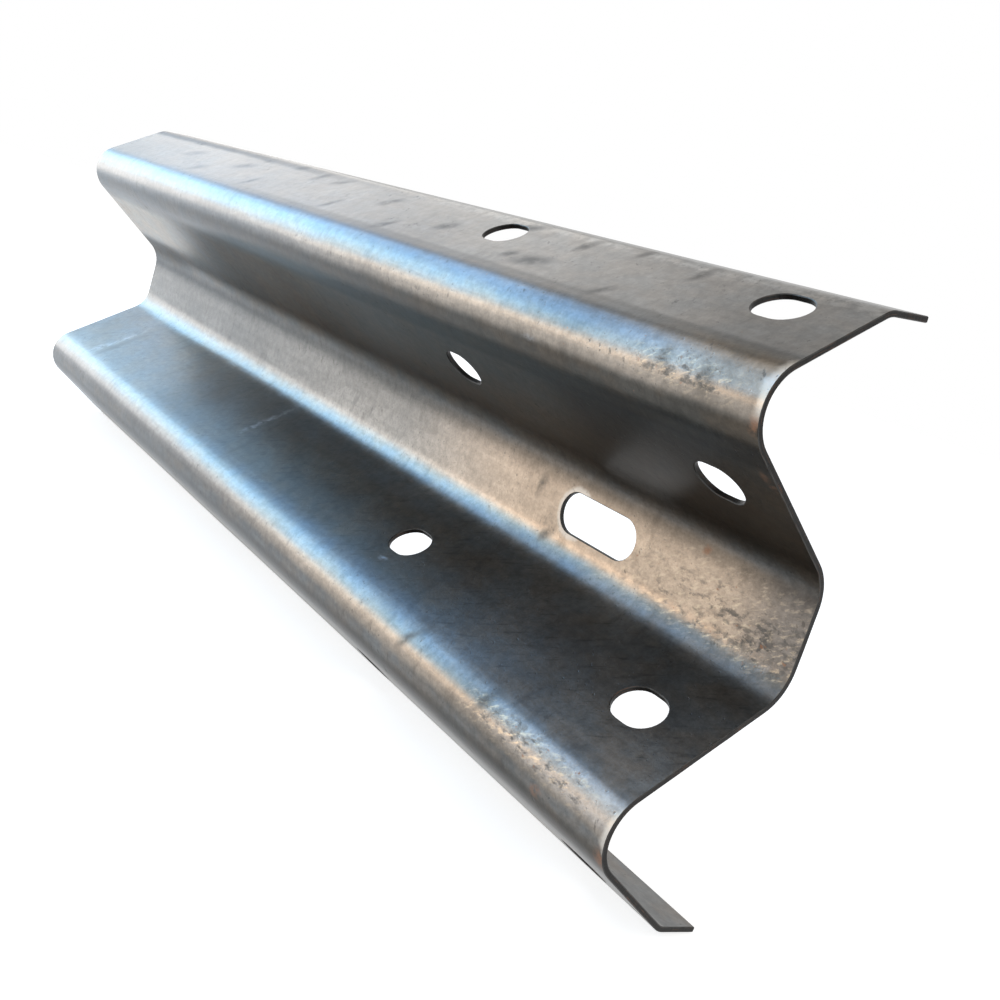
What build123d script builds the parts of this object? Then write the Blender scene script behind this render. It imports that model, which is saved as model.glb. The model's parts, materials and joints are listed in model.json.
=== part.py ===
from build123d import *
from math import asin, atan2, cos, degrees, hypot, radians, sin, tan
import os

os.makedirs("parts", exist_ok=True)

# A short length of two-wave (W-beam) highway guardrail, roll formed from one steel strip.
# It stands as it is bolted up: X runs along the road, Z is up, and the two crests face the
# traffic at -Y. The origin is the middle of the flat valley's back face, which bears on the
# post. The end at +X is punched for its post and its splice; the end at -X is sheared plain.
# All sizes are in millimetres.

# --- driving dimensions ---
rail_length = 915.0         # end to end
rail_depth = 85.0           # front of the crests to the back of the valley
sheet = 3.0                 # thickness of the strip
wave_pitch = 194.0          # height between the two crests
crest_radius = 24.0         # outside of each crest
valley_radius = 24.0        # inside of each corner of the valley, on the traffic side
edge_gap = 3.2              # tip of each edge flange to the plane of the valley's back
edge_width = 25.0           # width of the flange along each edge
edge_angle = 83.0           # slope of that flange, measured from the vertical
edge_radius = 10.0          # inside of the bend between outer leg and flange

column_setback = 43.0       # sheared end to the first column of splice slots
column_pitch = 216.0        # between the two columns of splice slots
splice_setout = 44.0        # plane of the valley's back out to the middle of each splice slot
splice_slot_length = 30.0   # along the rail
splice_slot_width = 24.0
post_slot_length = 64.0     # along the rail
post_slot_width = 24.0
post_slot_margin = 2.5      # flat left on each side of the post slot

edge_break = 0.4            # bevel on every edge left by shearing and punching

# --- dependent sizes of the section, on its traffic side ---
crest_height = wave_pitch / 2
valley_y = -sheet
valley_flat = post_slot_width + 2 * post_slot_margin

# The inner leg touches the crest's circle and the valley corner's circle on opposite sides.
centers_y = (valley_y - valley_radius) - (-rail_depth + crest_radius)
centers_height = crest_height - valley_flat / 2
centers_apart = hypot(centers_y, centers_height)
centers_slope = atan2(centers_y, centers_height)
leg_angle = degrees(centers_slope + asin((crest_radius + valley_radius) / centers_apart))

# Sharp corners of the section, before they are rounded.
leg_run = tan(radians(leg_angle))
crest_corner_y = -rail_depth - crest_radius * (1 / cos(radians(leg_angle)) - 1)
valley_corner_height = crest_height - (valley_y - crest_corner_y) / leg_run
edge_tip_y = -edge_gap
edge_bend_y = edge_tip_y - edge_width * sin(radians(edge_angle))
edge_bend_height = crest_height + (edge_bend_y - crest_corner_y) / leg_run
edge_tip_height = edge_bend_height + edge_width * cos(radians(edge_angle))

# --- dependent places of the slots ---
splice_slot_rise = (-splice_setout - crest_corner_y) / leg_run
first_column_x = rail_length / 2 - column_setback
second_column_x = first_column_x - column_pitch
post_slot_x = (first_column_x + second_column_x) / 2
cut_depth = 2 * sheet


def leg_plane(side, leg):
    """The traffic face of one leg, at the height of its slots: side is 1 on the upper wave
    and -1 on the lower one, leg is 1 outside the crest and -1 inside it."""
    center = (0, -splice_setout, side * (crest_height + leg * splice_slot_rise))
    normal = (0, -cos(radians(leg_angle)), side * leg * sin(radians(leg_angle)))
    return Plane(origin=center, x_dir=(1, 0, 0), z_dir=normal)


def rims(cut_edges, face):
    """The front and back rims of slots cut square through a face, without their corner lines."""
    return cut_edges.filter_by(Axis(face.origin, face.z_dir), reverse=True)


with BuildPart() as w_beam_rail:
    # The strip's cross section: its traffic side as one line, offset back by the thickness.
    with BuildSketch(Plane.YZ):
        with BuildLine() as traffic_side:
            upper_wave = [
                (edge_tip_y, edge_tip_height),
                (edge_bend_y, edge_bend_height),
                (crest_corner_y, crest_height),
                (valley_y, valley_corner_height),
            ]
            lower_wave = [(y, -height) for y, height in reversed(upper_wave)]
            Polyline(*upper_wave, *lower_wave)
            corners = traffic_side.vertices().sort_by(Axis.Y)
            low_bend, low_crest, low_valley, high_valley, high_crest, high_bend = corners[1:-1]
            fillet([low_crest, high_crest], crest_radius)
            fillet([low_valley, high_valley], valley_radius)
            fillet([low_bend, high_bend], edge_radius + sheet)
            offset(amount=sheet, side=Side.LEFT)
        make_face()
    extrude(amount=rail_length / 2, both=True)
    sheared_ends = faces().filter_by(Axis.X)
    chamfer(sheared_ends.edges(), edge_break)

    # Two columns of splice slots through the four legs.
    for side in (1, -1):
        for leg in (1, -1):
            face = leg_plane(side, leg)
            with BuildSketch(face):
                with Locations((first_column_x, 0), (second_column_x, 0)):
                    SlotOverall(splice_slot_length, splice_slot_width)
            extrude(amount=-cut_depth, mode=Mode.SUBTRACT)
            chamfer(rims(edges(Select.LAST), face), edge_break)

    # The post bolt's slot through the flat of the valley, midway between the columns.
    face = Plane(origin=(0, valley_y, 0), x_dir=(1, 0, 0), z_dir=(0, -1, 0))
    with BuildSketch(face):
        with Locations((post_slot_x, 0)):
            SlotOverall(post_slot_length, post_slot_width)
    extrude(amount=-cut_depth, mode=Mode.SUBTRACT)
    chamfer(rims(edges(Select.LAST), face), edge_break)

w_beam_rail.part.label = "w_beam_rail"
export_step(w_beam_rail.part, "parts/w_beam_rail.step")
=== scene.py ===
import json
from bisect import bisect_right
from math import asin, atan2, cos, hypot, pi, radians, sin, tan

import bmesh
import bpy
from mathutils import Matrix, Vector, noise
from mathutils.geometry import delaunay_2d_cdt

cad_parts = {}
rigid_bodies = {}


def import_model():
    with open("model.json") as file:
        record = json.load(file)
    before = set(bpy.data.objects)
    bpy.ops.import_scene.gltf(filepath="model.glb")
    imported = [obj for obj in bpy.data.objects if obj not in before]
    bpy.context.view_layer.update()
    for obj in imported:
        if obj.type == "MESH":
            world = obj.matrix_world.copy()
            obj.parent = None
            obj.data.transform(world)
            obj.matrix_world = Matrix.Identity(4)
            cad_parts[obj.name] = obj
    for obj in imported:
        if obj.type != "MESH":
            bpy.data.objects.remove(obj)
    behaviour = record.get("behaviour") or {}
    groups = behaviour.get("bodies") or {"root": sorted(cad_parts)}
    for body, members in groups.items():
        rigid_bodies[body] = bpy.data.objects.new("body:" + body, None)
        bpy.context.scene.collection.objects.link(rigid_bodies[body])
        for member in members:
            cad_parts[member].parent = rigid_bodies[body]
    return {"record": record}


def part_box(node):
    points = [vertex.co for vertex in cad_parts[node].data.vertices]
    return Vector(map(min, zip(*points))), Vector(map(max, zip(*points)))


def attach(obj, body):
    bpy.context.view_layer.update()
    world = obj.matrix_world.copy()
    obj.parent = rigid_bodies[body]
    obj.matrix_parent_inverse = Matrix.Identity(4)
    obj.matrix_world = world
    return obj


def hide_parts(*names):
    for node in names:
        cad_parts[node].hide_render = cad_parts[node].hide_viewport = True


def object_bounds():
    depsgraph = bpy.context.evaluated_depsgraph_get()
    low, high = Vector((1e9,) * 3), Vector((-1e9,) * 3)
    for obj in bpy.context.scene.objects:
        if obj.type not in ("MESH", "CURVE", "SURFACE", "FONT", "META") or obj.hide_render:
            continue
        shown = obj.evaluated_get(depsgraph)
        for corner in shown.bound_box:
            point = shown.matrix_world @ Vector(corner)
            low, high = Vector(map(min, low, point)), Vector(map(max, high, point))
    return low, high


for leftover in list(bpy.data.objects):
    bpy.data.objects.remove(leftover)

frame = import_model()
bpy.context.view_layer.update()
cad_low, cad_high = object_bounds()

# A short bare-steel length of W-beam guardrail. Metres; X runs along the rail, the crests
# face the traffic at -Y, Z is up.

# --- the section, as the CAD part has it ---
SHEET = 0.003                # thickness of the strip
DEPTH = 0.085                # front of the crests to the back of the valley
CREST_Z = 0.097              # height of each crest from the middle
CREST_R = 0.024              # outside radius of a crest
VALLEY_R = 0.024             # inside radius of a valley corner
VALLEY_FLAT = 0.029          # height of the flat in the valley
EDGE_GAP = 0.0032            # tip of an edge flange to the plane of the valley's back
EDGE_WIDTH = 0.025           # width of an edge flange
EDGE_ANGLE = radians(83.0)   # direction an edge flange faces, up from the traffic
EDGE_R = 0.013               # outside radius of the bend at an edge flange
EDGE_BREAK = 0.0004          # bevel on sheared and punched edges

# --- how finely the sheet is meshed ---
COLUMN = 0.0058              # spacing along the rail
ROW = 0.0045                 # spacing across flat strips
ARC_STEP = radians(6.0)      # turn between rows round a bend
SLOT_ARC = 16                # steps round each half circle of a slot
SLOT_CLEAR = 0.0016          # nearest a grid point comes to a slot's rim
SHARP = radians(32.0)        # edges that turn by more than this are shaded sharp

# --- how far the real sheet is from perfect ---
WAVE_HEIGHT = 0.00022        # lift and fall of the faces
WAVE_LENGTHS = (0.16, 0.07)  # along the rail, and across the strip
WAVE_SEED = 3.7
SHEAR_WANDER = 0.0003        # how far the sheared ends wander inwards
SHEAR_LENGTH = 0.03          # how fast they wander across the strip
SHEAR_SEED = 5.1


def facing(angle):
    """The unit normal, as (y, z), of a face turned up by angle from straight at the traffic."""
    return -cos(angle), sin(angle)


def section():
    """The strip's traffic side from the upper edge to the lower one, as rows of
    (strip, y, z, angle). strip is the distance along the sheet from the middle of the
    valley, positive upwards."""
    apart_y = (-SHEET - VALLEY_R) - (-DEPTH + CREST_R)
    apart_z = CREST_Z - VALLEY_FLAT / 2
    leg = atan2(apart_y, apart_z) + asin((CREST_R + VALLEY_R) / hypot(apart_y, apart_z))
    corner_y = -DEPTH - CREST_R * (1 / cos(leg) - 1)
    bend_y = -EDGE_GAP - EDGE_WIDTH * sin(EDGE_ANGLE)
    bend_z = CREST_Z + (bend_y - corner_y) / tan(leg)
    tip = (-EDGE_GAP, bend_z + EDGE_WIDTH * cos(EDGE_ANGLE))
    tangent = EDGE_R * tan((EDGE_ANGLE - leg) / 2)
    ny, nz = facing(leg)
    bend_centre = (bend_y - tangent * sin(leg) - EDGE_R * ny,
                   bend_z - tangent * cos(leg) - EDGE_R * nz)

    def arc(centre, radius, start, end):
        count = round(abs(end - start) / ARC_STEP)
        angles = [start + (end - start) * i / count for i in range(count + 1)]
        return [(centre[0] + radius * facing(a)[0], centre[1] + radius * facing(a)[1], a)
                for a in angles]

    def flat(start, end):
        count = round(hypot(end[0] - start[0], end[1] - start[1]) / ROW)
        return [(start[0] + (end[0] - start[0]) * i / count,
                 start[1] + (end[1] - start[1]) * i / count, start[2])
                for i in range(1, count)]

    bend = arc(bend_centre, EDGE_R, EDGE_ANGLE, leg)
    crest = arc((-DEPTH + CREST_R, CREST_Z), CREST_R, leg, -leg)
    valley = arc((-SHEET - VALLEY_R, VALLEY_FLAT / 2), -VALLEY_R, -leg, 0.0)
    edge = (*tip, EDGE_ANGLE)
    upper = [edge, *flat(edge, bend[0]), *bend]
    upper += [*flat(bend[-1], crest[0]), *crest, *flat(crest[-1], valley[0])]
    upper += [*valley, *flat(valley[-1], (-SHEET, 0.0)), (-SHEET, 0.0, 0.0)]
    rows = upper + [(y, -z, -a) for y, z, a in reversed(upper[:-1])]
    strips = [0.0]
    for (y0, z0, _), (y1, z1, _) in zip(rows, rows[1:]):
        strips.append(strips[-1] + hypot(y1 - y0, z1 - z0))
    return [(strips[-1] / 2 - s, *row) for s, row in zip(strips, rows)]


ROWS = section()


def row_at(strip):
    """(y, z, angle) of the traffic side at a strip distance, carried straight on past a tip."""
    after = bisect_right([-r[0] for r in ROWS], -strip)
    a, b = ROWS[max(0, min(after, len(ROWS) - 1) - 1)], ROWS[max(1, min(after, len(ROWS) - 1))]
    t = (a[0] - strip) / (a[0] - b[0])
    angle = a[3] + (b[3] - a[3]) * min(1.0, max(0.0, t))
    return a[1] + (b[1] - a[1]) * t, a[2] + (b[2] - a[2]) * t, angle


def waviness(x, strip):
    """How far the sheet stands off its true face there."""
    along, across = WAVE_LENGTHS
    return WAVE_HEIGHT * noise.noise(Vector((x / along, strip / across, WAVE_SEED)))


def on_sheet(x, strip, depth):
    """The point at that place along and across the strip, at a depth below its traffic side."""
    y, z, angle = row_at(strip)
    ny, nz = facing(angle)
    inward = depth - waviness(x, strip)
    return Vector((x, y - ny * inward, z - nz * inward))


class Sheet:
    """The strip's mesh: points known by where they are on the sheet, faces, and each face's
    material."""

    def __init__(self):
        self.points, self.places, self.faces, self.kinds = [], [], [], []

    def point(self, x, strip, depth):
        self.points.append(on_sheet(x, strip, depth))
        self.places.append((x, strip, depth))
        return len(self.points) - 1

    def pair(self, x, strip):
        """A point on the traffic side and the one behind it."""
        return self.point(x, strip, 0.0), self.point(x, strip, SHEET)

    def face(self, corners, kind):
        self.faces.append(corners)
        self.kinds.append(kind)

    def both(self, pairs):
        """A face on the traffic side and the same one on the back, turned over."""
        self.face([p[0] for p in pairs], 0)
        self.face([p[1] for p in reversed(pairs)], 0)

    def wall(self, rim, outline):
        """The cut edge round a closed rim of pairs: a bevel, the cut through the sheet at the
        outline's points, and the bevel behind."""
        rings = [[p[0] for p in rim],
                 [self.point(*place, EDGE_BREAK) for place in outline],
                 [self.point(*place, SHEET - EDGE_BREAK) for place in outline],
                 [p[1] for p in rim]]
        for outer, inner in zip(rings, rings[1:]):
            for i in range(len(rim)):
                j = (i + 1) % len(rim)
                self.face([outer[i], outer[j], inner[j], inner[i]], 1)


def slot_outline(x, strip, length, width, grow):
    """A slot's outline with round ends, as (x, strip) places, grown outwards all round."""
    r, reach = width / 2, (length - width) / 2
    turns = [pi * i / SLOT_ARC - pi / 2 for i in range(SLOT_ARC + 1)]
    right = [(reach + (r + grow) * cos(a), (r + grow) * sin(a)) for a in turns]
    count = max(1, round(2 * reach / ROW))
    over = [(reach - 2 * reach * i / count, r + grow) for i in range(1, count)]
    half = right + over
    return [(x + u, strip + v) for u, v in half] + [(x - u, strip - v) for u, v in half]


def inside_slot(x, strip, slot, clear=0.0):
    cx, cs, length, width = slot
    reach = (length - width) / 2
    return hypot(max(0.0, abs(x - cx) - reach), strip - cs) < width / 2 + clear


def slots():
    """Each slot's middle (x, strip), length and width, from the record's mounts."""
    found = []
    for mount in frame["record"]["mounts"]:
        size = mount["dims"]
        if "slot_length_mm" not in size:
            continue
        x, y, z = mount["pos_m"]
        near = min(ROWS, key=lambda r: hypot(r[1] - y, r[2] - z))
        # From the nearest row, along the flat, to the slot's own height.
        strip = near[0] + (z - near[2]) / cos(near[3])
        length, width = size["slot_length_mm"] / 1000, 2 * size["hole_r_mm"] / 1000
        pitch = size.get("spacing_x_mm", 0.0) / 1000
        for i in range(size["count"]):
            found.append((x + pitch * (i - (size["count"] - 1) / 2), strip, length, width))
    return found


def columns():
    """Places along the rail of the mesh's columns, inside the bevels of the sheared ends."""
    low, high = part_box("w_beam_rail")
    length = high.x - low.x - 2 * EDGE_BREAK
    count = round(length / COLUMN)
    return [low.x + EDGE_BREAK + length * i / count for i in range(count + 1)]


def patch_round(hole, xs, strips):
    """The block of grid cells that is remade round a slot: first and last column, top and
    bottom row."""
    cx, cs, length, width = hole
    first = max(i for i, x in enumerate(xs) if x < cx - length / 2 - COLUMN)
    last = min(i for i, x in enumerate(xs) if x > cx + length / 2 + COLUMN)
    top = max(j for j, s in enumerate(strips) if s > cs + width / 2 + SLOT_CLEAR)
    bottom = min(j for j, s in enumerate(strips) if s < cs - width / 2 - SLOT_CLEAR)
    return first, last, top, bottom


def plain_grid(sheet, xs, strips, patches):
    """Meshes the whole strip but its patches. Gives the grid's pairs of points."""
    def patched(i, j):
        return any(a <= i < b and c <= j < d for a, b, c, d in patches)

    def within(i, j):
        return any(a < i < b and c < j < d for a, b, c, d in patches)

    grid = {(i, j): sheet.pair(x, s) for i, x in enumerate(xs) for j, s in enumerate(strips)
            if not within(i, j)}
    for i in range(len(xs) - 1):
        for j in range(len(strips) - 1):
            if not patched(i, j):
                sheet.both([grid[i, j], grid[i, j + 1], grid[i + 1, j + 1], grid[i + 1, j]])
    return grid


def punch(sheet, grid, hole, patch, xs, strips):
    """Meshes the patch round a slot up to the slot's rim, and the wall of the cut."""
    a, b, c, d = patch
    edge = ([(i, c) for i in range(a, b)] + [(b, j) for j in range(c, d)]
            + [(i, d) for i in range(b, a, -1)] + [(a, j) for j in range(d, c, -1)])
    rim = slot_outline(*hole, EDGE_BREAK)
    free = [(xs[i], strips[j]) for i in range(a + 1, b) for j in range(c + 1, d)
            if not inside_slot(xs[i], strips[j], hole, SLOT_CLEAR)]
    places = [(xs[i], strips[j]) for i, j in edge] + rim + free
    border = [(k, (k + 1) % len(edge)) for k in range(len(edge))]
    border += [(len(edge) + k, len(edge) + (k + 1) % len(rim)) for k in range(len(rim))]
    first_rim, first_free = len(edge), len(edge) + len(rim)
    _, _, triangles, came_from, _, _ = delaunay_2d_cdt(
        [Vector(p) for p in places], border, [], 1, 1e-9)
    pairs = [grid[k] for k in edge] + [sheet.pair(*p) for p in rim + free]
    for triangle in triangles:
        corners = [came_from[k][0] for k in triangle]
        # A triangle with all its corners on the rim lies in the slot.
        if min(corners) < first_rim or max(corners) >= first_free:
            sheet.both([pairs[k] for k in corners])
    sheet.wall(pairs[first_rim:first_free], slot_outline(*hole, 0.0))


def shear(sheet, grid, xs, strips):
    """The cut edge all round the strip, a little ragged at its two sheared ends."""
    last_column, last_row = len(xs) - 1, len(strips) - 1
    border = ([(i, 0) for i in range(last_column)] + [(last_column, j) for j in range(last_row)]
              + [(i, last_row) for i in range(last_column, 0, -1)]
              + [(0, j) for j in range(last_row, 0, -1)])
    outline = []
    for i, j in border:
        x, strip = xs[i], strips[j]
        if i in (0, last_column):
            away = 1 if i else -1
            ragged = noise.noise(Vector((strip / SHEAR_LENGTH, away * SHEAR_SEED, 0.0)))
            x += away * (EDGE_BREAK - min(SHEAR_WANDER * abs(ragged), EDGE_BREAK / 2))
        if j in (0, last_row):
            strip += EDGE_BREAK * (-1 if j else 1)
        outline.append((x, strip))
    sheet.wall([grid[k] for k in border], outline)


def build_sheet():
    sheet = Sheet()
    xs, strips = columns(), [row[0] for row in ROWS]
    holes = slots()
    patches = [patch_round(hole, xs, strips) for hole in holes]
    grid = plain_grid(sheet, xs, strips, patches)
    for hole, patch in zip(holes, patches):
        punch(sheet, grid, hole, patch, xs, strips)
    shear(sheet, grid, xs, strips)
    return sheet


def rail_object(sheet):
    mesh = bpy.data.meshes.new("rolled_rail")
    mesh.from_pydata(sheet.points, [], sheet.faces)
    place = mesh.attributes.new("strip", "FLOAT_VECTOR", "POINT")
    place.data.foreach_set("vector", [v for p in sheet.places for v in p])
    mesh.polygons.foreach_set("material_index", sheet.kinds)
    mesh.update()
    mesh.validate()
    work = bmesh.new()
    work.from_mesh(mesh)
    bmesh.ops.recalc_face_normals(work, faces=work.faces)
    work.to_mesh(mesh)
    work.free()
    mesh.shade_smooth()
    mesh.set_sharp_from_angle(angle=SHARP)
    rail = bpy.data.objects.new("rolled_rail", mesh)
    bpy.context.scene.collection.objects.link(rail)
    return rail


rail = rail_object(build_sheet())
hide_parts("w_beam_rail")
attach(rail, "root")


# --- materials ---
class Shader:
    """A material's node tree, built a node at a time."""

    def __init__(self, name):
        self.material = bpy.data.materials.new(name)
        self.material.use_nodes = True
        self.tree = self.material.node_tree
        self.tree.nodes.clear()

    def node(self, kind, settings=(), **inputs):
        made = self.tree.nodes.new(kind)
        for name, value in dict(settings).items():
            setattr(made, name, value)
        for name, value in inputs.items():
            self.feed(made, name.replace("_", " "), value)
        return made

    def feed(self, node, name, value):
        socket = node.inputs[int(name)] if name.isdigit() else node.inputs[name]
        if isinstance(value, tuple) and len(value) == 3 and socket.type == "RGBA":
            value = (*value, 1.0)
        if isinstance(value, bpy.types.NodeSocket):
            self.tree.links.new(value, socket)
        else:
            socket.default_value = value

    def math(self, operation, a, b=None, c=None, clamp=False):
        made = self.tree.nodes.new("ShaderNodeMath")
        made.operation, made.use_clamp = operation, clamp
        for i, value in enumerate((a, b, c)):
            if value is not None:
                self.feed(made, str(i), value)
        return made.outputs[0]

    def mix(self, share, a, b, blend="MIX"):
        made = self.tree.nodes.new("ShaderNodeMix")
        made.data_type, made.blend_type = "RGBA", blend
        for name, value in (("0", share), ("6", a), ("7", b)):
            if name != "0" and isinstance(value, tuple) and len(value) == 3:
                value = (*value, 1.0)
            self.feed(made, name, value)
        return made.outputs[2]

    def ramp(self, value, low, high):
        """0 below low, 1 above high, eased between. low may be above high."""
        made = self.tree.nodes.new("ShaderNodeMapRange")
        made.interpolation_type = "SMOOTHSTEP"
        flip = low > high
        for name, v in (("0", value), ("1", min(low, high)), ("2", max(low, high)),
                        ("3", 1.0 if flip else 0.0), ("4", 0.0 if flip else 1.0)):
            self.feed(made, name, v)
        return made.outputs[0]

    def noise(self, vector, size, detail=3.0, rough=0.55, distort=0.0):
        made = self.node("ShaderNodeTexNoise", Vector=vector, Scale=1 / size, Detail=detail,
                         Roughness=rough, Distortion=distort)
        return made.outputs["Fac"]

    def stretched(self, vector, factors, turn=0.0):
        """The vector turned, then multiplied by factors. A pattern made from it is longer where
        a factor is below 1, along axes turned the same way."""
        return self.node("ShaderNodeMapping", {"vector_type": "TEXTURE"}, Vector=vector,
                         Scale=tuple(1 / f for f in factors),
                         Rotation=(0.0, 0.0, turn)).outputs[0]


CREST_STRIP = 0.1357         # strip distance of each crest's front from the valley's middle

# Colours of the steel.
SCALE_GREY = (0.146, 0.141, 0.135)
VALLEY_FILM_REFLECTION_FAR = (0.146, 0.141, 0.134)      # the valley floor's layer and painted reflection of the ground, at the plain end
VALLEY_FILM_REFLECTION_MIDDLE = (0.235, 0.216, 0.194)
VALLEY_FILM_REFLECTION_SLOT = (0.39, 0.30, 0.222)       # round the post slot
VALLEY_FILM_REFLECTION_END = (0.165, 0.145, 0.128)      # at the slotted end
# The crests' fronts: a brown layer, partly painted reflection of brown ground.
CREST_FILM_REFLECTION_FAR = (0.150, 0.145, 0.140)
CREST_FILM_REFLECTION_NEAR = (0.262, 0.222, 0.182)
WORN_LOWER = (0.330, 0.305, 0.280)           # each crest, worn by the slotted end
WORN_UPPER = (0.255, 0.248, 0.238)
CREAM = (0.60, 0.48, 0.34)
FLAKE_GREY = (0.078, 0.072, 0.066)
# Pale of the rub round the post slot and of the painted highlights at the crests' sheared end.
PALE_RUB_AND_HIGHLIGHT = (0.76, 0.69, 0.60)
SCUFF_AND_CREASE_SHADE_GREY = (0.060, 0.054, 0.047)
SCRAPE_AND_CREASE_HIGHLIGHT_GREY = (0.42, 0.42, 0.43)
PIT_GREY = (0.045, 0.042, 0.040)
RUST_BROWN = (0.29, 0.125, 0.052)

# Zones of the front: from and to across the strip, and how soft their edges are.
UPPER_LEG = (0.030, 0.104, 0.008)
FAR_LEG = (0.054, 0.106, 0.008)
FAR_CORNER = (0.026, 0.050, 0.007)
LOWER_LEG = (-0.110, -0.034, 0.008)
LOWER_CREST_SIDE = (-0.105, -0.052, 0.006)
VALLEY_FLOOR = (-0.0200, 0.0225, 0.005)
VALLEY_SHADE = (-0.003, 0.017, 0.004)
VALLEY_FLAKES = (-0.025, 0.016, 0.006)
# The same from each crest's front, upwards.
UNDER_CREST = (-0.034, -0.0080, 0.0035)
SHOULDER = (0.0182, 0.0280, 0.0022)
CREST_FILM_REFLECTION = (-0.0045, 0.0055, 0.0025)
CREST_WORN = (0.002, 0.017, 0.003)
CREST_DULL = (0.006, 0.0245, 0.004)
CREST_FLAKES = (-0.002, 0.013, 0.004)

# Scuffs in the scale: where along and across the strip, then length, width and turn. The long one
# at -0.357 across the lower leg is painted shade on the dark side of a crease that the mesh
# doesn't have.
SCUFFS_AND_CREASE_SHADE = (
    (0.266, 0.204, 0.018, 0.009, 1.2), (0.307, 0.211, 0.014, 0.007, 1.3),
    (0.355, 0.205, 0.018, 0.007, 1.4), (0.231, 0.176, 0.012, 0.008, 0.6),
    (0.322, 0.168, 0.017, 0.008, 0.9), (-0.109, 0.211, 0.018, 0.008, 0.3),
    (-0.064, 0.204, 0.018, 0.010, 1.0), (-0.029, 0.204, 0.022, 0.008, 0.5),
    (-0.186, 0.191, 0.028, 0.011, 0.4), (0.011, 0.174, 0.020, 0.007, 1.1),
    (0.061, 0.196, 0.020, 0.010, 0.8), (0.252, 0.006, 0.016, 0.006, 1.3),
    (0.269, -0.019, 0.016, 0.007, 0.7), (0.353, -0.122, 0.020, 0.008, 1.2),
    (0.277, -0.125, 0.022, 0.007, 1.0), (-0.027, -0.094, 0.030, 0.005, 1.5),
    (-0.357, -0.086, 0.060, 0.012, 1.5), (-0.300, 0.190, 0.034, 0.012, 0.3),
    (0.150, 0.186, 0.020, 0.011, 0.5), (-0.240, 0.170, 0.026, 0.010, 0.6),
    (0.252, 0.176, 0.030, 0.013, 0.3), (-0.130, 0.172, 0.022, 0.008, 1.0),
    (0.100, 0.168, 0.022, 0.008, 0.9), (0.208, 0.208, 0.026, 0.010, 0.4),
    (0.396, 0.141, 0.010, 0.014, 0.3), (0.423, 0.137, 0.010, 0.016, 0.2),
)
# Bright scrapes down to the metal. The two at -0.369 and -0.376 across the lower leg are painted
# highlight on the bright side of the same crease.
SCRAPES_AND_CREASE_HIGHLIGHT = ((-0.051, -0.061, 0.048, 0.008, 1.5), (-0.369, -0.082, 0.050, 0.009, 1.5),
           (-0.376, -0.105, 0.026, 0.009, 1.4), (0.200, -0.096, 0.007, 0.004, 0.2),
           (0.443, -0.021, 0.006, 0.005, 0.4), (0.300, 0.128, 0.012, 0.004, 0.1))
# Painted highlights along the sheared end of both crests, where the rolled-over edge catches
# light; pale rub round the far end of the post slot.
END_HIGHLIGHTS = ((0.4590, 0.1440, 0.014, 0.032, 0.0), (0.4590, -0.1320, 0.010, 0.024, 0.0))
SLOT_RUB = ((0.2872, 0.0, 0.0320, 0.0320, 0.0),)
# Rust stains at the sheared end, below the corners with painted highlights.
STAINS = ((0.4560, 0.1265, 0.008, 0.009, 0.0), (0.4560, -0.1460, 0.008, 0.012, 0.0),
          (0.4075, -0.1420, 0.008, 0.006, 0.2), (0.3870, 0.0170, 0.007, 0.004, 0.2),
          (0.4530, 0.0950, 0.006, 0.013, 0.3))


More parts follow.
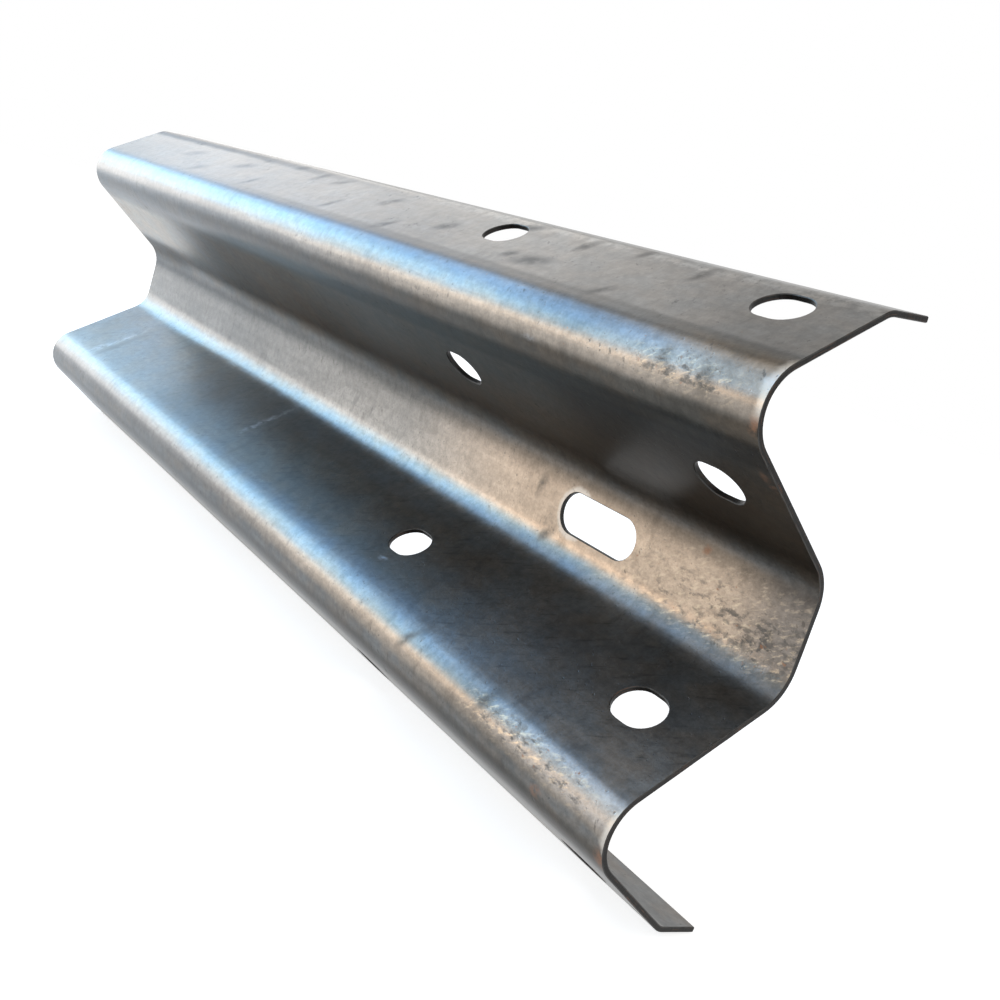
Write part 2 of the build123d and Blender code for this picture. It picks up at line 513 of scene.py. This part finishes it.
class Steel(Shader):
    """The strip's steel: what both materials on it start from."""

    def __init__(self, name):
        super().__init__(name)
        strip = self.node("ShaderNodeAttribute", {"attribute_name": "strip"})
        split = self.node("ShaderNodeSeparateXYZ", Vector=strip.outputs["Vector"])
        self.along, self.across, self.deep = split.outputs
        # The sheet laid flat, its back moved well away so that the two sides differ.
        self.sheet = self.stretched(strip.outputs["Vector"], (1.0, 1.0, 40.0))
        self.front = self.ramp(self.deep, 0.0020, 0.0010)
        self.half = self.math("SIGN", self.across)
        self.up_crest = self.math("MULTIPLY_ADD", self.half, -CREST_STRIP, self.across)

    def band(self, value, low, high, soft):
        """1 between low and high, easing to 0 outside them."""
        return self.math("MULTIPLY", self.ramp(value, low - soft, low + soft),
                         self.ramp(value, high + soft, high - soft))

    def product(self, *values):
        total = values[0]
        for value in values[1:]:
            total = self.math("MULTIPLY", total, value)
        return total

    def most(self, *values):
        total = values[0]
        for value in values[1:]:
            total = self.math("MAXIMUM", total, value)
        return total

    def less(self, tone, mask, share):
        """The tone lowered by that share where the mask is."""
        return self.math("MULTIPLY", tone, self.math("MULTIPLY_ADD", mask, -share, 1.0))

    def toned(self, colour, tone):
        return self.node("ShaderNodeVectorMath", {"operation": "SCALE"}, **{"0": colour},
                         Scale=tone).outputs[0]

    def shaken(self, amount, size):
        """The flat sheet's vector with its places shaken, for ragged outlines."""
        shake = self.node("ShaderNodeTexNoise", Vector=self.sheet, Scale=1 / size, Detail=3.0)
        off = self.node("ShaderNodeVectorMath", {"operation": "SUBTRACT"},
                        **{"0": shake.outputs["Color"], "1": (0.5, 0.5, 0.5)})
        move = self.node("ShaderNodeVectorMath", {"operation": "SCALE"},
                         **{"0": off.outputs[0]}, Scale=amount)
        return self.node("ShaderNodeVectorMath", {"operation": "ADD"},
                         **{"0": self.sheet, "1": move.outputs[0]}).outputs[0]

    def surface(self, colour, rough, metal, bump):
        steel = self.node("ShaderNodeBsdfPrincipled", Base_Color=colour, Roughness=rough,
                          Metallic=metal, Normal=bump.outputs[0])
        self.node("ShaderNodeOutputMaterial", Surface=steel.outputs[0])
        return self.material

    def spots(self, vector, places, edge=1.5, full=0.1):
        """1 in the middle of each oval place, easing to 0 at its edge."""
        found = []
        for x, strip, length, width, turn in places:
            local = self.node("ShaderNodeMapping", {"vector_type": "TEXTURE"}, Vector=vector,
                              Location=(x, strip, 0.0), Rotation=(0.0, 0.0, turn),
                              Scale=(length / 2, width / 2, 1.0))
            away = self.node("ShaderNodeVectorMath", {"operation": "LENGTH"},
                             **{"0": local.outputs[0]}).outputs["Value"]
            found.append(self.ramp(away, edge, full))
        return self.most(*found)


class MillScale(Steel):
    """Dark bare steel as it left the rolling mill, rub-worn and rust-filmed on its front, with
    painted shade, painted reflections of the ground and painted highlights on it. mill_scale()
    calls the methods in their order here, and later ones use earlier masks."""

    def __init__(self):
        super().__init__("mill_scale")
        flat = self.sheet
        self.blotch = self.noise(self.stretched(flat, (0.6, 1.0, 1.0)), 0.024, 4, 0.6)
        self.mottle = self.noise(flat, 0.0060, 4, 0.68)
        self.fine = self.noise(flat, 0.0016, 2, 0.6)
        self.rolled = self.noise(self.stretched(flat, (0.035, 1.0, 1.0)), 0.0035, 3, 0.6)
        # Places across the strip, shaken a little so that the zones' outlines are ragged.
        edge = self.math("MULTIPLY_ADD", self.blotch, 0.006, -0.003)
        self.ragged = self.math("ADD", self.across, edge)
        self.ragged_crest = self.math("ADD", self.up_crest, self.math("MULTIPLY", edge, 0.4))
        self.ragged_sheet = self.shaken(0.006, 0.007)

        self.near = self.ramp(self.along, -0.10, 0.25)
        self.upper_leg = self.zone(self.ragged, UPPER_LEG)
        self.lower_leg = self.zone(self.ragged, LOWER_LEG)
        self.far_leg = self.product(self.zone(self.ragged, FAR_LEG),
                                    self.ramp(self.along, -0.20, -0.36))
        self.far_corner = self.product(self.zone(self.ragged, FAR_CORNER),
                                       self.ramp(self.along, -0.30, -0.40))
        self.under = self.zone(self.ragged_crest, UNDER_CREST)
        self.outer = self.product(self.ramp(self.across, 0.157, 0.163), self.front)
        rim = self.product(self.ramp(self.ragged, 0.2045, 0.2105), self.front)
        self.near_rim = self.product(rim, self.ramp(self.along, 0.0, 0.18))
        self.far_rim = self.product(rim, self.ramp(self.along, 0.15, -0.30))

    def zone(self, value, limits):
        """1 on the front where the value is within a zone's limits."""
        return self.product(self.band(value, *limits), self.front)

    def tinted(self, colour, mask, tint):
        """The colour multiplied by a tint where the mask is."""
        return self.mix(1.0, colour, self.mix(mask, (1.0, 1.0, 1.0), tint), "MULTIPLY")

    def part(self, mask, share):
        return self.math("MULTIPLY", mask, share)

    def grained(self):
        """The bare scale's tone: clouds, mottling, fine grain, the rolls' lines and smears."""
        cloud = self.noise(self.sheet, 0.11, 2)
        tone = self.math("MULTIPLY_ADD", self.ramp(cloud, 0.30, 0.70), 0.16, 0.92)
        for grain, depth in ((self.ramp(self.blotch, 0.32, 0.68), 0.16),
                             (self.ramp(self.mottle, 0.34, 0.66), 0.24),
                             (self.ramp(self.fine, 0.25, 0.75), 0.16),
                             (self.ramp(self.rolled, 0.3, 0.7), 0.10)):
            grain = self.math("MULTIPLY_ADD", grain, depth, 1.0 - depth / 2)
            tone = self.math("MULTIPLY", tone, grain)
        smear = self.noise(self.stretched(self.sheet, (1.0, 0.5, 1.0)), 0.013, 3, 0.6)
        tone = self.less(tone, self.product(self.ramp(smear, 0.56, 0.68), self.front), 0.16)
        return self.less(tone, self.product(self.ramp(smear, 0.46, 0.34), self.outer), -0.12)

    def zoned(self, tone):
        """Painted shade and painted light on the tone, standing in for dark and bright ground seen
        in the steel. Painted shade inside the waves, most in the upper wave by the slotted end and
        in the far corner, under each crest, over its shoulder, on the outer leg's lower part by
        the slotted end and along the upper edge's far half; painted light at the upper wave's far
        end, at the lower leg's slotted end and in blotches along the upper edge's near half. The
        lower leg is also darker in streaks. A share below 0 raises it."""
        along, across, ramp = self.along, self.across, self.ramp
        streaks = self.noise(self.stretched(self.sheet, (0.18, 1.0, 1.0), 0.66), 0.0034, 3, 0.62)
        shoulder = self.product(self.zone(self.up_crest, SHOULDER), ramp(along, -0.25, 0.0))
        upper, lower = ramp(self.half, -0.5, 0.5), ramp(self.half, 0.5, -0.5)
        # Each row: a share, then masks. A share above 0 paints shade there, one below 0 paints
        # light.
        for share, *masks in (
                (0.42, self.upper_leg, ramp(along, -0.34, -0.16)),
                (0.66, self.upper_leg, self.band(along, 0.30, 0.43, 0.03)),
                (-0.70, self.far_leg),
                (0.26, self.far_corner),
                (0.50, self.lower_leg, ramp(along, -0.26, -0.12)),
                (0.18, self.lower_leg),
                (0.26, self.lower_leg, ramp(streaks, 0.55, 0.68)),
                (-0.65, self.lower_leg, ramp(along, 0.20, 0.38)),
                (-0.75, self.lower_leg, ramp(along, 0.36, 0.45)),
                (0.30, self.under),
                (0.40, self.under, self.near),
                (0.28, self.under, lower),
                (0.26, self.under, self.band(along, -0.20, 0.12, 0.08), upper),
                (0.22, shoulder),
                (0.31, shoulder, upper),
                (0.16, self.outer, ramp(along, 0.0, 0.12), ramp(across, 0.200, 0.160)),
                (-0.42, self.near_rim, ramp(self.mottle, 0.30, 0.60)),
                (0.46, self.far_rim)):
            tone = self.less(tone, self.product(*masks), share)
        return tone

    def tempered(self, colour):
        """Faint temper tints, warmer and cooler by turns; browner inside the waves, a painted
        reflection of brown ground; and less blue beside the lower crest."""
        along, ramp = self.along, self.ramp
        turns = self.noise(self.stretched(self.sheet, (0.7, 1.0, 1.0)), 0.019, 3, 0.6)
        tint = self.mix(ramp(turns, 0.36, 0.64), (0.95, 1.0, 1.03), (1.07, 1.0, 0.92))
        tint = self.mix(self.part(self.outer, 0.55), tint, (1.02, 1.0, 0.96))
        colour = self.mix(1.0, colour, tint, "MULTIPLY")
        # Painted reflection of brown ground: browner inside the waves.
        brown = self.most(self.product(self.upper_leg, ramp(along, -0.25, -0.05)),
                          self.product(self.under, self.near), self.far_leg)
        crest_side = self.zone(self.ragged, LOWER_CREST_SIDE)
        for mask, tint in (
                (self.product(self.outer, ramp(along, 0.10, -0.30)), (1.02, 0.99, 0.94)),
                (self.part(brown, 0.8), (1.14, 1.0, 0.83)),
                (self.product(self.upper_leg, self.band(along, -0.20, 0.20, 0.10)),
                 (1.10, 1.0, 0.93)),
                (self.product(crest_side, self.band(along, -0.05, 0.27, 0.08)),
                 (1.04, 0.91, 0.75))):
            colour = self.tinted(colour, mask, tint)
        return colour

    def valley_filmed(self, colour, tone):
        """A thin brown layer on the valley's worn floor, partly painted reflection of brown
        ground; darker in a band above the middle and towards the upper corner, as painted shade.
        """
        along = self.along
        film_and_reflection = self.mix(self.ramp(along, -0.25, 0.10), VALLEY_FILM_REFLECTION_FAR, VALLEY_FILM_REFLECTION_MIDDLE)
        film_and_reflection = self.toned(film_and_reflection, self.less(1.0, self.band(self.across, *VALLEY_SHADE), 0.14))
        film_and_reflection = self.mix(self.ramp(along, 0.08, 0.27), film_and_reflection, VALLEY_FILM_REFLECTION_SLOT)
        film_and_reflection = self.mix(self.part(self.ramp(along, 0.400, 0.450), 0.90), film_and_reflection, VALLEY_FILM_REFLECTION_END)
        film_and_reflection = self.toned(film_and_reflection, tone)
        # Painted shade: darker towards the valley's upper corner.
        film_and_reflection = self.toned(film_and_reflection, self.less(1.0, self.ramp(self.across, 0.004, 0.021), 0.55))
        return self.mix(self.zone(self.ragged, VALLEY_FLOOR), colour, film_and_reflection)

    def crests_filmed(self, colour, tone):
        """The brown layer on the crests' fronts, partly painted reflection of brown ground, worn
        and dulled by the slotted end.
        """
        along = self.along
        film_and_reflection = self.mix(self.near, CREST_FILM_REFLECTION_FAR, CREST_FILM_REFLECTION_NEAR)
        # The lower crest's layer and painted reflection sit higher than the upper one's.
        place = self.math("MULTIPLY_ADD", self.half, 0.004, self.ragged_crest)
        colour = self.mix(self.zone(place, CREST_FILM_REFLECTION), colour, self.toned(film_and_reflection, tone))
        worn = self.product(self.zone(self.ragged_crest, CREST_WORN), self.ramp(along, 0.33, 0.42))
        steel = self.mix(self.ramp(self.half, -0.5, 0.5), WORN_LOWER, WORN_UPPER)
        colour = self.mix(worn, colour, self.toned(steel, tone))
        dull = self.product(self.zone(self.up_crest, CREST_DULL), self.ramp(along, 0.355, 0.430),
                            self.ramp(self.half, -0.5, 0.5))
        return self.tinted(colour, dull, (1.08, 0.92, 0.74))

    def flaking(self, colour):
        """Flaked patches by the slotted end: dull grey, in clusters on the valley's floor, and
        cream where scale has come away."""
        along, across = self.along, self.across
        # On the lower crest they sit higher and start sooner.
        place = self.math("MULTIPLY_ADD", self.half, 0.003, self.up_crest)
        start = self.math("MULTIPLY_ADD", self.half, -0.020, along)
        crests = self.product(self.band(place, *CREST_FLAKES), self.ramp(start, 0.345, 0.375),
                              self.ramp(along, 0.452, 0.428))
        floor = self.product(self.band(across, *VALLEY_FLAKES), self.ramp(along, 0.27, 0.42))
        floor = self.less(floor, self.ramp(across, -0.006, 0.012), 0.45)
        self.rough_end = self.product(self.most(crests, floor), self.front)
        flakes = self.noise(self.stretched(self.sheet, (0.60, 1.0, 1.0)), 0.0038, 3, 0.62)
        level = self.math("MULTIPLY_ADD", self.rough_end, 0.10, flakes)
        level = self.math("MULTIPLY_ADD", self.ramp(self.blotch, 0.35, 0.65), 0.07, level)
        clusters = self.noise(self.stretched(self.sheet, (0.8, 1.0, 1.0)), 0.0080, 4, 0.72)
        clusters = self.product(self.ramp(clusters, 0.50, 0.64), floor, self.front)
        level = self.math("MULTIPLY_ADD", clusters, 0.13, level)
        self.flaked = self.product(self.ramp(level, 0.59, 0.82), self.rough_end)
        threads = self.noise(self.stretched(self.sheet, (0.36, 1.0, 1.0), 0.5), 0.0022, 3, 0.6)
        cream = self.product(self.ramp(threads, 0.50, 0.70), self.rough_end)
        colour = self.mix(self.part(cream, 0.55), colour, CREAM)
        deepest = self.math("MULTIPLY_ADD", self.most(crests, clusters), 0.26, 0.56)
        darkened = self.most(self.product(self.flaked, deepest), self.part(clusters, 0.28))
        return self.mix(darkened, colour, FLAKE_GREY)

    def rubbing(self, colour):
        """Painted highlights along the crests' sheared end, and pale rub round the far end of the
        post slot.
        """
        slot = self.spots(self.shaken(0.0025, 0.004), SLOT_RUB, 1.04, 0.84)
        rubbed = self.most(self.spots(self.ragged_sheet, END_HIGHLIGHTS, 1.25, 0.5), self.part(slot, 0.7))
        self.rubbed = self.product(rubbed, self.front)
        return self.mix(self.part(self.rubbed, 0.74), colour, PALE_RUB_AND_HIGHLIGHT)

    def marking(self, colour):
        """Scuffs, fainter at the plain end, fine marks, bright scrapes and small pits; across the
        lower leg's far end, one dark scuff and two bright scrapes are painted shade and painted
        highlight of a crease.
        """
        scuffed = self.product(self.spots(self.ragged_sheet, SCUFFS_AND_CREASE_SHADE),
                               self.ramp(self.mottle, 0.24, 0.58))
        depth = self.math("MULTIPLY_ADD", self.ramp(self.along, -0.30, 0.20), 0.36, 0.36)
        marks = self.noise(self.stretched(self.sheet, (1.0, 0.5, 1.0), 0.6), 0.0040, 3, 0.66)
        marks = self.product(self.ramp(marks, 0.60, 0.70), self.ramp(self.blotch, 0.46, 0.60))
        self.scuffed = self.most(self.product(scuffed, depth), self.part(marks, 0.55))
        scrapes_and_crease_highlight = self.product(self.spots(self.ragged_sheet, SCRAPES_AND_CREASE_HIGHLIGHT),
                               self.ramp(self.mottle, 0.34, 0.66))
        pits = self.noise(self.sheet, 0.0026, 2)
        self.pits = self.product(self.ramp(pits, 0.64, 0.72), self.ramp(self.blotch, 0.38, 0.60))
        colour = self.mix(self.scuffed, colour, SCUFF_AND_CREASE_SHADE_GREY)
        colour = self.mix(self.part(scrapes_and_crease_highlight, 0.40), colour, SCRAPE_AND_CREASE_HIGHLIGHT_GREY)
        return self.mix(self.part(self.pits, 0.50), colour, PIT_GREY)

    def rusting(self, colour):
        """Rust flecks, most of them by the slotted end, and the stains under the rubs."""
        rust = self.noise(self.stretched(self.sheet, (0.8, 1.0, 1.0)), 0.0052, 4, 0.65)
        rust = self.math("MULTIPLY_ADD", self.rough_end, 0.06, rust)
        stained = self.product(self.spots(self.ragged_sheet, STAINS),
                               self.ramp(self.mottle, 0.35, 0.60))
        self.rust = self.most(self.part(self.ramp(rust, 0.69, 0.79), 0.8),
                              self.part(stained, 0.75))
        return self.mix(self.rust, colour, RUST_BROWN)

    def finished(self, colour):
        """The shader, with the roughness and the relief of everything above, and less gloss
        along the upper edge's far half, in the far corner and inside the upper wave."""
        # Less metallic where rusted, and where the rub or the painted highlight is pale.
        metal = self.most(self.rust, self.part(self.rubbed, 0.5))
        metal = self.math("MULTIPLY_ADD", metal, -0.85, 1.0)
        rough = self.math("MULTIPLY_ADD", self.blotch, 0.10, 0.255)
        rough = self.math("MULTIPLY_ADD", self.fine, 0.05, rough)
        dull = self.most(self.flaked, self.rust, self.part(self.scuffed, 1.2))
        rough = self.math("MULTIPLY_ADD", dull, 0.16, rough)
        inner = self.product(self.upper_leg, self.band(self.along, -0.24, 0.02, 0.08))
        matt = self.most(self.part(self.far_rim, 0.10), self.part(self.far_corner, 0.22),
                         self.part(inner, 0.21))
        rough = self.math("ADD", matt, rough)
        height = self.math("ADD", self.mottle, self.part(self.rolled, 0.30))
        height = self.math("MULTIPLY_ADD", self.fine, 0.20, height)
        height = self.math("MULTIPLY_ADD", self.most(self.pits, self.flaked), -0.7, height)
        bump = self.node("ShaderNodeBump", Height=height, Strength=0.6, Distance=0.00014)
        return self.surface(colour, rough, metal, bump)


def mill_scale():
    s = MillScale()
    # The grain, with painted shade and painted light laid on it.
    tone = s.zoned(s.grained())
    colour = s.tempered(s.toned(SCALE_GREY, tone))
    colour = s.crests_filmed(s.valley_filmed(colour, tone), tone)
    colour = s.rubbing(s.flaking(colour))
    return s.finished(s.rusting(s.marking(colour)))


def sheared_edge():
    """The cut faces: dark, torn across by the shear, paler at their rims, rust in places."""
    s = Steel("sheared_edge")
    flat = s.sheet
    torn = s.noise(s.stretched(flat, (1.0, 1.0, 0.004)), 0.0012, 3, 0.6)
    blotch = s.noise(flat, 0.006, 3)
    colour = s.toned((0.034, 0.033, 0.032), s.math("MULTIPLY_ADD", torn, 0.9, 0.55))
    rim = s.most(s.ramp(s.deep, 0.0007, 0.0002), s.ramp(s.deep, 0.0022, 0.0028))
    rim = s.math("MULTIPLY", rim, s.ramp(blotch, 0.38, 0.55))
    colour = s.mix(s.math("MULTIPLY", rim, 0.8), colour, (0.10, 0.097, 0.092))
    rust = s.math("MULTIPLY", s.ramp(s.noise(flat, 0.011, 4, 0.6), 0.60, 0.68), 0.7)
    colour = s.mix(rust, colour, (0.17, 0.070, 0.030))
    metal = s.math("MULTIPLY_ADD", rust, -0.9, 1.0)
    rough = s.math("MULTIPLY_ADD", torn, 0.20, 0.38)
    bump = s.node("ShaderNodeBump", Height=torn, Strength=0.6, Distance=0.0002)
    return s.surface(colour, rough, metal, bump)


rail.data.materials.append(mill_scale())
rail.data.materials.append(sheared_edge())

# --- the studio ---
WHITE = (1.0, 1.0, 1.0, 1.0)
FILL, FILL_STRENGTH = (1.0, 0.98, 0.95, 1.0), 0.45
FLOOR_SIZE = 12.0            # from the middle to each side
FLOOR_GREY = (0.8, 0.8, 0.8, 1.0)
FLOOR_LIFT = 0.78            # emission that makes the floor white where it is seen
FLOOR_GAP = 0.0005           # between the rail's lowest edge and the floor
WALL_X = -2.9                # the lamps hang in one wall, past the rail's far end


def seen_rays(tree):
    """1 for camera, glossy and transmission rays, which see the white background."""
    path = tree.nodes.new("ShaderNodeLightPath")
    total = path.outputs["Is Camera Ray"]
    for name in ("Is Glossy Ray", "Is Transmission Ray"):
        add = tree.nodes.new("ShaderNodeMath")
        add.operation, add.use_clamp = "ADD", True
        tree.links.new(total, add.inputs[0])
        tree.links.new(path.outputs[name], add.inputs[1])
        total = add.outputs[0]
    return total


def build_world():
    world = bpy.data.worlds.new("studio")
    bpy.context.scene.world = world
    world.use_nodes = True
    tree = world.node_tree
    tree.nodes.clear()
    fill, seen = tree.nodes.new("ShaderNodeBackground"), tree.nodes.new("ShaderNodeBackground")
    fill.inputs[0].default_value, fill.inputs[1].default_value = FILL, FILL_STRENGTH
    seen.inputs[0].default_value, seen.inputs[1].default_value = WHITE, 1.0
    mix = tree.nodes.new("ShaderNodeMixShader")
    out = tree.nodes.new("ShaderNodeOutputWorld")
    tree.links.new(seen_rays(tree), mix.inputs[0])
    tree.links.new(fill.outputs[0], mix.inputs[1])
    tree.links.new(seen.outputs[0], mix.inputs[2])
    tree.links.new(mix.outputs[0], out.inputs[0])


def build_floor():
    size = FLOOR_SIZE
    mesh = bpy.data.meshes.new("floor")
    z = cad_low.z - FLOOR_GAP
    mesh.from_pydata([(-size, -size, z), (size, -size, z), (size, size, z), (-size, size, z)],
                     [], [(0, 1, 2, 3)])
    floor = bpy.data.objects.new("floor", mesh)
    bpy.context.scene.collection.objects.link(floor)
    s = Shader("floor_white")
    tree = s.tree
    plain = s.node("ShaderNodeBsdfDiffuse", Color=FLOOR_GREY)
    lift = s.node("ShaderNodeEmission", Color=WHITE, Strength=FLOOR_LIFT)
    bright = s.node("ShaderNodeAddShader")
    tree.links.new(plain.outputs[0], bright.inputs[0])
    tree.links.new(lift.outputs[0], bright.inputs[1])
    mix = s.node("ShaderNodeMixShader")
    tree.links.new(seen_rays(tree), mix.inputs[0])
    tree.links.new(plain.outputs[0], mix.inputs[1])
    tree.links.new(bright.outputs[0], mix.inputs[2])
    out = s.node("ShaderNodeOutputMaterial")
    tree.links.new(mix.outputs[0], out.inputs[0])
    mesh.materials.append(s.material)


def panel(name, y, z, colour, radiance):
    """A soft panel in the wall, from y[0] to y[1] and z[0] to z[1], facing along the rail."""
    data = bpy.data.lights.new(name, "AREA")
    data.shape, data.size, data.size_y = "RECTANGLE", z[1] - z[0], y[1] - y[0]
    data.color, data.energy = colour, radiance * pi * data.size * data.size_y
    lamp = bpy.data.objects.new(name, data)
    lamp.location = (WALL_X, (y[0] + y[1]) / 2, (z[0] + z[1]) / 2)
    lamp.rotation_euler = (0.0, radians(-90.0), 0.0)
    lamp.visible_camera = False
    bpy.context.scene.collection.objects.link(lamp)


# Each panel: name, from and to across the rail, from and to in height, colour, radiance.
PANELS = (
    ("haze_panel", (-2.9, -0.30), (0.40, 0.95), (0.57, 0.82, 1.0), 5.5),
    ("sky_panel", (-2.9, -0.30), (0.95, 1.50), (0.33, 0.69, 1.0), 7.1),
    ("blue_panel", (-2.6, -0.14), (1.50, 2.80), (0.17, 0.50, 1.0), 4.7),
    ("horizon_panel", (-2.9, -0.10), (-0.14, 0.40), (1.0, 1.0, 1.0), 2.8),
    ("warm_panel", (-4.4, -2.1), (-0.14, 0.35), (1.0, 0.74, 0.50), 5.0),
    ("cloud_panel", (0.16, 1.3), (0.45, 1.45), (1.0, 0.98, 0.95), 2.0),
    ("high_panel", (0.25, 1.6), (1.45, 3.20), (1.0, 0.99, 0.97), 1.25),
)

build_world()
build_floor()
for settings in PANELS:
    panel(*settings)

# --- the camera ---
CAMERA_AT = (0.7508, -0.4358, 0.1134)
CAMERA_AZIMUTH, CAMERA_ELEVATION, CAMERA_ROLL = radians(50.87), radians(10.66), radians(17.83)
CAMERA_LENS = 40.764
back = Vector((sin(CAMERA_AZIMUTH) * cos(CAMERA_ELEVATION),
               -cos(CAMERA_AZIMUTH) * cos(CAMERA_ELEVATION), sin(CAMERA_ELEVATION)))
camera_data = bpy.data.cameras.new("camera")
camera_data.lens = CAMERA_LENS
camera_data.clip_start, camera_data.clip_end = 0.01, 100.0
camera = bpy.data.objects.new("camera", camera_data)
camera.location = CAMERA_AT
level = (-back).to_track_quat("-Z", "Y").to_matrix()
camera.rotation_euler = (level @ Matrix.Rotation(CAMERA_ROLL, 3, "Z")).to_euler()
bpy.context.scene.collection.objects.link(camera)
bpy.context.scene.camera = camera
bpy.context.scene.view_settings.view_transform = "Standard"

bpy.context.view_layer.update()
